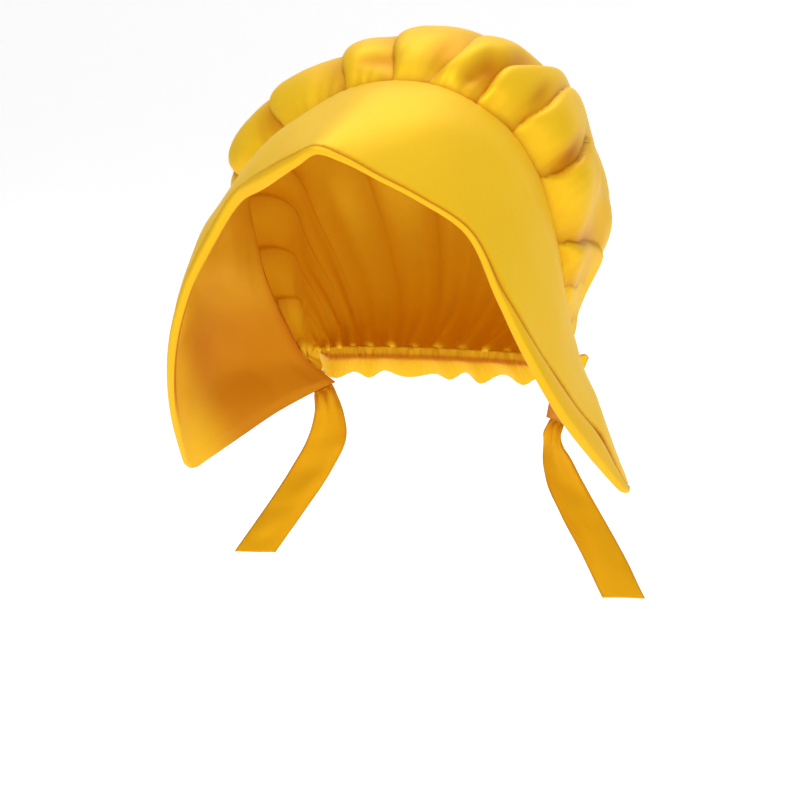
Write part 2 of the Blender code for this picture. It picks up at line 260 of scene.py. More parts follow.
def brim_relief(at, along):
    """The unevenness of the stiffened cloth that both of the brim's cloths follow."""
    inside = smooth_step(along / WAVE_START) * smooth_step((1 - along) / WAVE_END)
    waves = unevenness(at * WAVES_ALONG, along * WAVES_ACROSS, seed=3.0) * BRIM_WAVE
    ridge = RIDGE_HEIGHT * bump(along - RIDGE_PLACE - RIDGE_SLANT * at, RIDGE_WIDTH)
    ridge *= smooth_step((at - RIDGE_FROM) / RELIEF_FADE)
    ridge *= smooth_step((RIDGE_TO - at) / RELIEF_FADE)
    crease = CREASE_HEIGHT * bump(at - CREASE_PLACE - CREASE_SLANT * (along - 0.5), CREASE_WIDTH)
    crease *= smooth_step((along - CREASE_FROM) / RELIEF_FADE)
    return (waves + ridge + crease) * inside


def ends_closer(x):
    """Rows closer together towards both ends of a cloth."""
    return 0.5 - 0.5 * np.cos(math.pi * x)


def station(x):
    """A place along the brim, with the sections closer together towards its two ends."""
    return EVEN_SHARE * (2 * x - 1) + (1 - EVEN_SHARE) * np.sin(math.pi * (x - 0.5))


def outer_cloth(x, y):
    """The middle of the outer cloth, and the painted shade that each point gets where it dips into a seam.
    """
    at, along = station(x), ends_closer(y)
    reach = roll_share(at) - SEW_GAP / rib_length(at)
    share = along * reach
    behind = share * rib_length(at)
    before = (reach - share) * rib_length(at)
    dip = bump(behind, SEAM_DIP_WIDTH) + bump(before, SEAM_DIP_WIDTH)
    rear = unevenness(at * REAR_PUCKERS, along * PUCKER_STRETCH, seed=9.0)
    front = unevenness(at * FRONT_PUCKERS, along * PUCKER_STRETCH, seed=5.0)
    pucker = rear * np.exp(-behind / PUCKER_REACH) + front * np.exp(-before / (PUCKER_REACH / 2))
    height = brim_relief(at, share) + PUCKER_DEPTH * pucker * (1 - dip * SEAM_TIGHTNESS) - SEAM_DIP * dip
    points = rib(at, share) + rib_normal(at, share) * (height - CLOTH / 2)[:, None]
    # The seam dip also gives the painted shade along both seams.
    return points, np.clip(dip, 0.0, 1.0)


def linear(hexes):
    """An sRGB colour as the linear values that a shader takes."""
    values = [int(hexes[i:i + 2], 16) / 255 for i in (1, 3, 5)]
    return [v / 12.92 if v <= 0.04045 else ((v + 0.055) / 1.055) ** 2.4 for v in values] + [1.0]


def node(tree, kind, links=(), **settings):
    """Add a shader node, set its values and link its inputs."""
    made = tree.nodes.new(kind)
    for key, value in settings.items():
        if key in made.inputs:
            made.inputs[key].default_value = value
        else:
            setattr(made, key, value)
    for target, source in links:
        tree.links.new(made.inputs[target], source)
    return made


# Satin is woven from smooth polyester with long threads lying on its face, which gives it a soft
# broad shine. The threads are drawn several times as coarse as real ones, so that they show. The
# crushed grain is about 5 mm across and the patches of deeper colour about 40 mm.
THREADS_PER_METRE = 2600.0
FLOATS_PER_METRE = 240.0
CRUSH_PER_METRE = 210.0
PATCHES_PER_METRE = 26.0
PATCH_DEPTH = 0.10
THREAD_SHADOW = (0.93, 0.91, 0.86, 1.0)
SATIN_ROUGHNESS = (0.40, 0.54)


def satin(name, light="#FACA26", deep="#C8720A"):
    """Dyed polyester satin: golden shine, fine threads, and painted shade in folds, seams and hollows,
    which mixes the light colour towards the deep one.
    """
    made = bpy.data.materials.new(name)
    made.use_nodes = True
    tree = made.node_tree
    shader = tree.nodes["Principled BSDF"]
    place = node(tree, "ShaderNodeTexCoord")
    spot, flat = place.outputs["Object"], place.outputs["UV"]
    # A point attribute holds the painted shade for folds, seams and hollows; added to the random patches,
    # it moves the colour towards the deep colour.
    painted_shade = node(tree, "ShaderNodeAttribute", attribute_name="painted_shade")
    patches = node(tree, "ShaderNodeTexNoise", [("Vector", spot)], Scale=PATCHES_PER_METRE, Detail=3.0)
    depth = node(tree, "ShaderNodeMath", [(0, patches.outputs["Fac"])], operation="MULTIPLY_ADD")
    depth.inputs[1].default_value = PATCH_DEPTH
    tree.links.new(depth.inputs[2], painted_shade.outputs["Fac"])
    tone_and_painted_shade = node(tree, "ShaderNodeMix", [("Factor", depth.outputs[0])], data_type="RGBA")
    tone_and_painted_shade.inputs["A"].default_value = linear(light)
    tone_and_painted_shade.inputs["B"].default_value = linear(deep)

    slub = node(tree, "ShaderNodeMapping", [("Vector", flat)])
    slub.inputs["Scale"].default_value = (THREADS_PER_METRE, FLOATS_PER_METRE, 1.0)
    threads = node(tree, "ShaderNodeTexNoise", [("Vector", slub.outputs["Vector"])], Scale=1.0, Detail=2.0)
    fleck = node(tree, "ShaderNodeMix", data_type="RGBA", blend_type="MULTIPLY")
    tree.links.new(fleck.inputs["Factor"], threads.outputs["Fac"])
    tree.links.new(fleck.inputs["A"], tone_and_painted_shade.outputs["Result"])
    fleck.inputs["B"].default_value = THREAD_SHADOW
    tree.links.new(shader.inputs["Base Color"], fleck.outputs["Result"])

    shine = node(tree, "ShaderNodeMapRange", [("Value", threads.outputs["Fac"])])
    shine.inputs["To Min"].default_value = SATIN_ROUGHNESS[0]
    shine.inputs["To Max"].default_value = SATIN_ROUGHNESS[1]
    tree.links.new(shader.inputs["Roughness"], shine.outputs["Result"])
    weave = node(tree, "ShaderNodeBump", [("Height", threads.outputs["Fac"])])
    weave.inputs["Strength"].default_value = 0.22
    weave.inputs["Distance"].default_value = 0.0002
    grain = node(tree, "ShaderNodeTexNoise", [("Vector", spot)], Scale=CRUSH_PER_METRE, Detail=3.0)
    crush = node(tree, "ShaderNodeBump", [("Height", grain.outputs["Fac"])])
    crush.inputs["Strength"].default_value = 0.12
    crush.inputs["Distance"].default_value = 0.0006
    tree.links.new(crush.inputs["Normal"], weave.outputs["Normal"])
    tree.links.new(shader.inputs["Normal"], crush.outputs["Normal"])

    shader.inputs["Metallic"].default_value = 0.25
    shader.inputs["Specular IOR Level"].default_value = 0.18
    shader.inputs["Specular Tint"].default_value = linear("#FFF08A")
    shader.inputs["Sheen Weight"].default_value = 0.05
    shader.inputs["Sheen Roughness"].default_value = 0.5
    shader.inputs["Sheen Tint"].default_value = linear("#FFE63C")
    return made


def cloth(name, steps, place, thickness, flat, material):
    """Sew one piece: a grid from 0 to 1 both ways, placed by a function and given its thickness, with each
    point's painted shade kept as an attribute.
    """
    bm = bmesh.new()
    bmesh.ops.create_grid(bm, x_segments=steps[0], y_segments=steps[1], size=0.5)
    x = np.array([vert.co.x + 0.5 for vert in bm.verts])
    y = np.array([vert.co.y + 0.5 for vert in bm.verts])
    points, painted_shades = place(x, y)
    painted_shade = bm.verts.layers.float.new("painted_shade")
    weave = bm.loops.layers.uv.new("weave")
    for face in bm.faces:
        for loop in face.loops:
            loop[weave].uv = ((loop.vert.co.x + 0.5) * flat[0], (loop.vert.co.y + 0.5) * flat[1])
    # Each point keeps its painted shade in the attribute that the satin reads.
    for vert, point, depth in zip(bm.verts, points, painted_shades):
        vert.co = point
        vert[painted_shade] = depth
    bmesh.ops.recalc_face_normals(bm, faces=bm.faces)
    mesh = bpy.data.meshes.new(name)
    bm.to_mesh(mesh)
    bm.free()
    mesh.shade_smooth()
    mesh.materials.append(material)
    piece = bpy.data.objects.new(name, mesh)
    bpy.context.scene.collection.objects.link(piece)
    wall = piece.modifiers.new("wall", "SOLIDIFY")
    wall.thickness = thickness
    wall.offset = 0.0
    wall.use_even_offset = False
    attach(piece, "root")
    return piece


BRIM_FLAT = (0.560, 0.150)
brim_steps = (BRIM_STEPS, RIB_STEPS)
outer = cloth("brim_outer_cloth", brim_steps, outer_cloth, CLOTH, BRIM_FLAT, satin("brim_satin"))
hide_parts("brim_outer")

# The facing is cut as the outer cloth. It lines the brim's inside, rolls round the front edge and
# meets the outer cloth in a seam, which lies further back along the left flap than anywhere else.
LIP_STEPS = 14
ROLL_STEPS = 6
FACING_ROWS = RIB_STEPS + LIP_STEPS + ROLL_STEPS
EDGE_RUN = 0.96
ROLL_HEIGHT = 0.0006
FACING_SAG = 0.0012
SAGS_ALONG = 9
SAGS_ACROSS = 2.5
SAG_START = 0.3
SAG_END = 0.2

# The folded edge is pressed flat along the right flap, and the line this leaves is painted shade. The
# whole facing gets some painted shade, the inside more than the rolled edge, most of all low on the
# flaps, and the seams get some too.
PRESS_FROM = -0.93
PRESS_TO = -0.58
PRESS_FADE = 0.08
PRESS_WIDTH = 0.0012
PRESS_PAINTED_SHADE = 0.8
LOW_FROM = 0.62
LOW_FADE = 0.2
BASE_PAINTED_SHADE = 0.12
INSIDE_PAINTED_SHADE = 0.36
LOW_PAINTED_SHADE = 0.30
REAR_SEAM_PAINTED_SHADE = 0.2
DARK_FROM = 0.95
DARK_RUN = 0.6
LOW_RUN = 0.25


def facing_shade(at, share, row, dip):
    """The facing's painted shade at each point: all over, more on the inside and low on the flaps, along
    the pressed line and at the seams.
    """
    flat_part = row <= RIB_STEPS
    low = smooth_step((np.abs(at) - LOW_FROM) / LOW_FADE)
    fade = smooth_step((DARK_FROM - share) / (DARK_RUN - LOW_RUN * low))
    inner = BASE_PAINTED_SHADE + (INSIDE_PAINTED_SHADE + LOW_PAINTED_SHADE * low) * fade * flat_part
    stretch = smooth_step((PRESS_TO - at) / PRESS_FADE) * smooth_step((at - PRESS_FROM) / PRESS_FADE)
    pressed = stretch * bump((1 - share) * rib_length(at), PRESS_WIDTH)
    inner = inner + PRESS_PAINTED_SHADE * (pressed * (row <= RIB_STEPS + LIP_STEPS // 4))
    rear = bump(share * rib_length(at), 2 * SEAM_DIP_WIDTH) * flat_part
    # Painted shade at the front seam's dip and by the rear seam.
    return np.clip(dip * (row >= RIB_STEPS + LIP_STEPS) + REAR_SEAM_PAINTED_SHADE * rear + inner, 0.0, 1.0)


def facing_cloth(x, y):
    """The middle of the facing: along the inside, round the front edge and back to the seam."""
    at = station(x)
    row = np.round(y * FACING_ROWS)
    share = ends_closer(np.minimum(row / RIB_STEPS, 1.0))
    deep = 1.5 * CLOTH + SEW_GAP + padding(at, share)
    shallow = CLOTH / 2
    normal = rib_normal(at, share)
    sag = unevenness(at * SAGS_ALONG, share * SAGS_ACROSS, seed=14.0) * FACING_SAG
    sag = sag * smooth_step(share / SAG_START) * smooth_step((1 - share) / SAG_END)
    lift = np.minimum(brim_relief(at, share), 0.0) - np.abs(sag)
    inside = rib(at, share) + normal * (lift - deep)[:, None]

    radius = (deep - shallow) / 2
    swing = math.pi * np.clip((row - RIB_STEPS) / LIP_STEPS, 0.0, 1.0)
    edge = rib(at, np.ones_like(at))
    forward = unit(edge - rib(at, np.full_like(at, EDGE_RUN)))
    middle = edge - normal * (shallow + radius)[:, None]
    lip = middle - normal * (radius * np.cos(swing))[:, None] + forward * (radius * np.sin(swing))[:, None]

    roll = np.clip((row - RIB_STEPS - LIP_STEPS) / ROLL_STEPS, 0.0, 1.0)
    back = 1 + (roll_share(at) - 1) * roll
    dip = bump((back - roll_share(at)) * rib_length(at), SEAM_DIP_WIDTH)
    height = np.sin(math.pi * roll) * ROLL_HEIGHT - shallow - SEAM_DIP * dip
    turned = rib(at, back) + rib_normal(at, back) * height[:, None]

    rounded = np.where((row < RIB_STEPS + LIP_STEPS)[:, None], lip, turned)
    points = np.where((row <= RIB_STEPS)[:, None], inside, rounded)
    return points, facing_shade(at, share, row, dip)


facing_steps = (BRIM_STEPS, FACING_ROWS)
facing = cloth("brim_facing_cloth", facing_steps, facing_cloth, CLOTH, BRIM_FLAT, satin("facing_satin"))
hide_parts("brim_facing")

# The crown is a full half-round of cloth. It is pleated by hand into the brim's rear seam, which
# leaves deep uneven pockets over the wearer's left, and is drawn in again along the nape.
CROWN_CLOTH = 0.0012
CROWN_GAP = SEW_GAP / 3
CROWN_SINK = 1.4 * CLOTH
SEAM_RUN = 0.03
CROWN_END_SHARE = 0.965
DRAW_IN_START = 0.80
CROWN_WIDTH_SWELL = 0.0145
PLEAT_DEPTH = 0.0036
GATHER_DEPTH = 0.0024
GATHER_COUNT = 17
GATHER_REACH = 0.30
GATHER_FLAT = 0.05
LOBE_ROUNDNESS = 0.8
LOBE_MIDDLE = 0.55
LOBE_LEAN = 0.45
FLAT_END = 0.12
FLAT_SEAM = 0.06
CROWN_ROWS_EVEN = 0.35

# Small puckers lie close to the brim's seam and longer wrinkles all over. The colour gets painted
# shade in the valleys and at the seam, and a painted highlight on the crests.
PUCKERS_ALONG = 62
PUCKERS_ACROSS = 3
PUCKER_HEIGHT = 0.0009
PUCKER_FADE = 0.07
PUCKER_START = 0.02
PUCKER_END = 0.03
WRINKLES_ALONG = 14
WRINKLES_ACROSS = 5
WRINKLE_HEIGHT = 0.0011
VALLEY_PAINTED_SHADE = 0.60
EDGE_SHADOW = 0.8
EDGE_SHADOW_REACH = 0.008
CREST_PAINTED_HIGHLIGHT = 0.15
CREST_HEIGHT = 0.004

# Towards its two ends the crown is tucked in: it turns to the nape sooner and swells less. Each
# tuck starts and is full at these shares of the seam.
CROWN_TUCK_LEFT = (0.48, 0.80)
CROWN_TUCK_RIGHT = (0.50, 0.95)
TUCK_FLATNESS = 0.8
TURN_POWER = 2
TUCK_TURN_LEFT = 0.7
TUCK_TURN_RIGHT = 1.1

CASING_HALF_WIDTH = 0.074
CASING_SETBACK = 0.078
CASING_LEVEL = -0.160
CASING_BACK = 0.028
CASING_ANGLE = 0.0
CROWN_STEPS = 540
CROWN_RISE_STEPS = 88

CROWN_COLUMNS = ("along", "angle", "reach", "swell")
CROWN_SECTIONS = (
    (0.00, 0.00, 1.000, 0.00),
    (0.10, 0.07, 1.045, 0.95),
    (0.25, 0.19, 1.050, 1.10),
    (0.42, 0.37, 0.970, 0.85),
    (0.58, 0.56, 0.830, 1.10),
    (0.74, 0.76, 0.590, 0.35),
    (0.88, 0.93, 0.330, -0.20),
    (1.00, 1.00, 0.130, 0.00),
)

# Valleys between the pleats: depth as a share of PLEAT_DEPTH, how far they run into the crown, and
# their places along the seam at the steps of VALLEY_RUN into the crown.
VALLEY_RUN = (0.00, 0.05, 0.11, 0.22, 0.42, 0.60)
VALLEY_COLUMNS = ("depth", "reach") + VALLEY_RUN
VALLEYS = (
    (0.5, 0.40, -0.860, -0.860, -0.860, -0.860, -0.860, -0.860),
    (0.9, 0.45, -0.740, -0.742, -0.745, -0.755, -0.760, -0.760),
    (1.0, 0.50, -0.620, -0.622, -0.625, -0.640, -0.650, -0.650),
    (1.1, 0.50, -0.490, -0.492, -0.495, -0.515, -0.530, -0.530),
    (1.5, 0.45, -0.360, -0.380, -0.400, -0.430, -0.440, -0.440),
    (1.5, 0.50, -0.222, -0.235, -0.250, -0.258, -0.260, -0.260),
    (1.9, 0.50, -0.088, -0.096, -0.112, -0.128, -0.135, -0.135),
    (1.3, 0.45, 0.010, 0.000, -0.016, -0.036, -0.045, -0.045),
    (1.4, 0.35, 0.080, 0.092, 0.103, 0.104, 0.104, 0.104),
    (2.6, 0.50, 0.194, 0.194, 0.192, 0.236, 0.250, 0.250),
    (1.8, 0.50, 0.286, 0.291, 0.302, 0.304, 0.274, 0.270),
    (2.2, 0.60, 0.394, 0.419, 0.429, 0.432, 0.368, 0.345),
    (1.7, 0.90, 0.546, 0.566, 0.590, 0.612, 0.606, 0.545),
    (0.3, 0.50, 0.650, 0.660, 0.680, 0.700, 0.690, 0.660),
    (0.3, 0.45, 0.760, 0.762, 0.770, 0.775, 0.770, 0.760),
    (0.4, 0.40, 0.860, 0.860, 0.860, 0.860, 0.860, 0.860),
)

# Pockets pushed in between the pleats: place on the brim seam, place towards the nape, their two
# sizes in the same measures, depth in metres, and how much painted shade they get. A depth below 0
# stands out.
POCKETS = (
    (0.150, 0.05, 0.022, 0.040, 0.0030, 0.50),
    (0.166, 0.11, 0.024, 0.050, 0.0042, 0.60),
    (0.205, 0.21, 0.024, 0.070, 0.0030, 0.50),
    (0.275, 0.14, 0.014, 0.060, 0.0016, 0.45),
    (0.402, 0.13, 0.022, 0.080, 0.0030, 0.60),
    (0.470, 0.34, 0.060, 0.200, 0.0000, 0.25),
    (0.620, 0.30, 0.050, 0.250, 0.0000, 0.35),
    (0.430, 0.46, 0.050, 0.110, 0.0045, 0.00),
    (0.490, 0.74, 0.060, 0.110, 0.0050, 0.00),
    (0.610, 0.66, 0.100, 0.130, 0.0060, 0.00),
    (0.070, 0.11, 0.022, 0.070, 0.0014, 0.35),
    (-0.045, 0.07, 0.040, 0.030, 0.0020, 0.45),
    (-0.120, 0.30, 0.020, 0.080, 0.0010, 0.30),
    (-0.260, 0.06, 0.050, 0.060, 0.0010, 0.20),
    (-0.300, 0.20, 0.110, 0.200, -0.0060, 0.00),
)


def crown_row(name, along):
    return smooth(CROWN_SECTIONS, CROWN_COLUMNS, name, along)


def crown_seam(at):
    """Where the crown's cloth starts, just behind the brim's rear edge."""
    zero = np.zeros_like(at)
    back = unit(rib(at, zero) - rib(at, zero + SEAM_RUN))
    return rib(at, zero) + back * (CROWN_GAP + CROWN_CLOTH / 2) - rib_normal(at, zero) * CROWN_SINK


def casing_line(share):
    """The nape casing, from its right end (-1) round the back to its left end (1)."""
    swing = share * math.pi / 2
    return np.stack((
        CASING_HALF_WIDTH * np.sin(swing),
        CASING_SETBACK + CASING_BACK * np.cos(swing),
        np.full_like(swing, CASING_LEVEL),
    ), -1)


def crown_base(share, along):
    """The crown's form without its pleats: sections turned about the line of the casing's ends."""
    seam = crown_seam(share * CROWN_END_SHARE)
    casing = casing_line(share)
    arm_y, arm_z = seam[:, 1] - CASING_SETBACK, seam[:, 2] - CASING_LEVEL
    first = np.arctan2(arm_z, arm_y)
    angle = first + (CASING_ANGLE - first) * crown_row("angle", along)
    reach = np.hypot(arm_y, arm_z) * crown_row("reach", along)
    drawn_in = smooth_step((along - DRAW_IN_START) / (1 - DRAW_IN_START))
    reach += (casing[:, 1] - CASING_SETBACK - reach) * drawn_in
    start, full = np.where(share[:, None] > 0, CROWN_TUCK_LEFT, CROWN_TUCK_RIGHT).T
    tuck = smooth_step((np.abs(share) - start) / (full - start))
    swell = CROWN_WIDTH_SWELL * crown_row("swell", along) * (1 - TUCK_FLATNESS * tuck)
    inward = along ** (TURN_POWER - np.where(share > 0, TUCK_TURN_LEFT, TUCK_TURN_RIGHT) * tuck)
    width = seam[:, 0] + (casing[:, 0] - seam[:, 0]) * inward + swell * seam[:, 0] / SEAM_HALF_WIDTH
    back = CASING_SETBACK + reach * np.cos(angle)
    level = CASING_LEVEL + reach * np.sin(angle)
    return np.stack((width, back, level), -1)


def crown_normal(share, along):
    left, right = np.minimum(share + NORMAL_STEP, 1.0), np.maximum(share - NORMAL_STEP, -1.0)
    after, before = np.minimum(along + NORMAL_STEP, 1.0), np.maximum(along - NORMAL_STEP, 0.0)
    run = crown_base(left, along) - crown_base(right, along)
    rise = crown_base(share, after) - crown_base(share, before)
    return unit(np.cross(run, rise))


def valley_line(places, along):
    """Where one valley lies along the seam, at some way into the crown."""
    return smooth(tuple(zip(VALLEY_RUN, places)), ("run", "place"), "place", along)


def pleats(share, along):
    """Height of the rounded lobes between the valleys, and how deep in a valley each point is."""
    place = share * CROWN_END_SHARE
    depths = column(VALLEYS, VALLEY_COLUMNS, "depth")
    reaches = column(VALLEYS, VALLEY_COLUMNS, "reach")
    lines = np.stack([valley_line(places, along) for _, _, *places in VALLEYS], -1)
    right = np.clip((place[:, None] > lines).sum(axis=1), 1, len(VALLEYS) - 1)
    every = np.arange(len(place))
    low, high = lines[every, right - 1], lines[every, right]
    across = np.clip((place - low) / (high - low), 0.0, 1.0)
    reach = reaches[right - 1] + (reaches[right] - reaches[right - 1]) * across
    fade = np.exp(-(along / reach) ** 2)
    depth = depths[right - 1] + (depths[right] - depths[right - 1]) * across
    arch = np.abs(np.sin(math.pi * across ** LOBE_LEAN)) ** LOBE_ROUNDNESS
    return depth * (arch - LOBE_MIDDLE) * fade * PLEAT_DEPTH, (1 - arch) ** 2 * fade


def crown_cloth(x, y):
    """The middle of the crown's cloth with its pleats, pockets, gathers and small wrinkles, and its painted
    shade.
    """
    share = 2 * x - 1
    along = CROWN_ROWS_EVEN * y + (1 - CROWN_ROWS_EVEN) * ends_closer(y)
    place = share * CROWN_END_SHARE
    ends = smooth_step((1 - np.abs(share)) / FLAT_END)
    height, valley = pleats(share, along)
    start = smooth_step(along / FLAT_SEAM)
    height = height * start
    # Painted shade in the valleys between the pleats and in the pockets.
    shade = VALLEY_PAINTED_SHADE * valley
    for at, middle, wide, long, depth, pocket_shade in POCKETS:
        pocket = bump(place - at, wide) * bump(along - middle, long) * start
        height = height - depth * pocket
        shade = shade + pocket_shade * pocket
    wave = np.cos(math.pi * GATHER_COUNT * share)
    rear = np.exp(-((1 - along) / GATHER_REACH) ** 2) * smooth_step((1 - along) / GATHER_FLAT)
    height += GATHER_DEPTH * wave * rear
    fine = unevenness(place * PUCKERS_ALONG, along * PUCKERS_ACROSS, seed=21.0)
    fine = fine * np.exp(-along / PUCKER_FADE) * PUCKER_HEIGHT
    fine += unevenness(place * WRINKLES_ALONG, along * WRINKLES_ACROSS, seed=27.0) * WRINKLE_HEIGHT
    height += fine * smooth_step(along / PUCKER_START) * smooth_step((1 - along) / PUCKER_END)
    # Painted shadow along the brim's seam, and a painted highlight on the crests.
    shade = shade + EDGE_SHADOW * np.exp(-along / EDGE_SHADOW_REACH)
    shade = shade - CREST_PAINTED_HIGHLIGHT * smooth_step(height / CREST_HEIGHT)
    points = crown_base(share, along) + crown_normal(share, along) * (height * ends)[:, None]
    return points, np.clip(shade * ends, 0.0, 1.0)


CROWN_FLAT = (0.620, 0.330)
crown_steps = (CROWN_STEPS, CROWN_RISE_STEPS)
crown = cloth("crown_cloth", crown_steps, crown_cloth, CROWN_CLOTH, CROWN_FLAT, satin("crown_satin"))
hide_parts("crown")

# The nape's cloth is drawn in on a narrow casing, and below the casing it stands out as a short
# ruffle, more so at its two ends behind the flaps. It is all in painted shade, deepest at the
# casing's seam and least where the ruffle stands out.
CASING_DEPTH = 0.006
CASING_LAP = 0.0015
CASING_NARROWING = 0.6
LAP_SLACK = 0.2
FRILL_WIDTH = 0.016
FRILL_WIDENING = 0.3
FRILL_WAVE = 0.0022
FRILL_WAVES = 10
FRILL_UNEVENNESS = 0.9
FRILL_SHIFT = 2
FRILL_CALMING = 0.5
DRIFTS_ALONG = 3
WAVE_LEAN = 0.3
FRILL_END_SHARE = 0.90
FRILL_DROOP = 0.72
FRILL_ROUND = 0.07
ROUND_SHARE = 0.9
FLARE_START = 0.70
FLARE_LIFT = 0.95
FRILL_GATHER = 0.0009
GATHERS_ALONG = 46
GATHERS_ACROSS = 0.4
GATHER_START = 0.2
CASING_PAINTED_SHADE = 0.8
CASING_SHADE_WIDTH = 0.25
FRILL_PAINTED_SHADE = 0.3
FRILL_PAINTED_LIGHT = 0.4
FRILL_STEPS = 420
FRILL_DROP_STEPS = 18
FRILL_PARTS = 3


def frill_cloth(x, y):
    """The casing's band in the first of three parts, then the ruffle, which stands out at both ends, and
    the painted shade.
    """
    share = (2 * x - 1) * FRILL_END_SHARE
    start = casing_line(share)
    away = unit(start * np.array((1.0, 1.0, 0.0)))
    end = smooth_step((np.abs(share) - FLARE_START) / (FRILL_END_SHARE - FLARE_START))
    row = FRILL_PARTS * y
    down = CASING_DEPTH * (1 - CASING_NARROWING * end) * np.minimum(row, 1.0) - CASING_LAP
    corner = np.clip((np.abs(share) - FRILL_END_SHARE + FRILL_ROUND) / FRILL_ROUND, 0.0, 1.0)
    out = np.maximum(row - 1, 0) / (FRILL_PARTS - 1) * np.sqrt(1 - ROUND_SHARE * corner ** 2)
    drift = unevenness(share * DRIFTS_ALONG, 0.0, seed=37.0)
    ripple = np.sin(math.pi * FRILL_WAVES * share + FRILL_SHIFT * drift)
    wave = FRILL_WAVE * (1 + FRILL_UNEVENNESS * drift) * ripple * out * (1 - FRILL_CALMING * end)
    gather = unevenness(share * GATHERS_ALONG, row * GATHERS_ACROSS, seed=33.0) * FRILL_GATHER
    gather = gather * (1 - FRILL_CALMING * out) * smooth_step(row / GATHER_START)
    droop = FRILL_DROOP - FLARE_LIFT * end
    width = FRILL_WIDTH * (1 + FRILL_WIDENING * end)
    sideways = width * np.sqrt(1 - droop * droop) * out + WAVE_LEAN * wave + gather
    lap = SEW_GAP + CROWN_CLOTH / 2 * (1 + LAP_SLACK)
    points = start + away * (sideways - lap)[:, None]
    points[:, 2] += wave - width * droop * out - down
    # Painted shade over the whole frill, deeper at the casing's seam and lighter where the ruffle stands
    # out.
    shade = CASING_PAINTED_SHADE * bump(row - 1, CASING_SHADE_WIDTH) - FRILL_PAINTED_LIGHT * out + FRILL_PAINTED_SHADE
    return points, np.clip(shade, 0.0, 1.0)


FRILL_FLAT = (0.240, 0.024)
frill_steps = (FRILL_STEPS, FRILL_DROP_STEPS)
frill = cloth("nape_frill_cloth", frill_steps, frill_cloth, CROWN_CLOTH, FRILL_FLAT, satin("frill_satin"))
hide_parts("nape_frill")

# Each tie is a flat tube of the same satin, turned and pressed. It is pinched where it is sewn in
# at the brim's rear corner and hangs free behind the flap. It gets painted shade by the seam and
# along its two edges.
TIE_WIDTH = 0.024
TIE_CLOTH = 0.0013
TIE_FALL = 0.096
TIE_SPREAD = 0.042
TIE_SEAM_INSET = 0.003
TIE_TURN = 0.25
ALONG_FLAP = 0.98
ALONG_EDGE = 0.05
TIE_STEPS = 110
TIE_WIDTH_STEPS = 14
PINCH_DEPTH = 0.0016
PINCH_TURNS = 15
PINCH_REACH = 0.16
PINCH_START = 0.03
CURL_DEPTH = 0.0012
CRUMPLE_DEPTH = 0.0008
CRUMPLES_ALONG = 7
CURL_START = 0.1
PRESSED_EDGE = 0.0003
PRESSED_WIDTH = 0.03
TIE_SEAM_PAINTED_SHADE = 0.6
TIE_SEAM_SHADE_REACH = 0.06
TIE_EDGE_PAINTED_SHADE = 0.35
TIE_EDGE_SHADE_WIDTH = 0.04

# Headings are in degrees. The other columns are shares of the tie's length, spread, fall and width.
TIE_COLUMNS = ("along", "out", "back", "down", "heading", "width")
TIE_LEFT_SECTIONS = (
    (0.00, 0.00, 0.00, 0.00, -46.0, 0.45),
    (0.10, -0.06, 0.05, 0.10, -40.0, 0.60),
    (0.22, -0.02, 0.06, 0.21, -25.0, 0.82),
    (0.36, 0.10, 0.02, 0.36, -8.0, 0.97),
    (0.52, 0.32, -0.05, 0.52, 4.0, 1.0),
    (0.76, 0.70, -0.20, 0.76, 10.0, 1.0),
    (1.00, 1.04, -0.34, 1.00, 12.0, 1.0),
)
TIE_RIGHT_SECTIONS = (
    (0.00, 0.00, 0.00, 0.00, -46.0, 0.45),
    (0.12, -0.06, 0.05, 0.12, -40.0, 0.65),
    (0.30, -0.03, 0.08, 0.30, -28.0, 0.92),
    (0.50, 0.18, 0.00, 0.50, -20.0, 1.0),
    (0.75, 0.54, -0.16, 0.76, -16.0, 1.0),
    (1.00, 0.89, -0.34, 1.00, -14.0, 1.0),
)


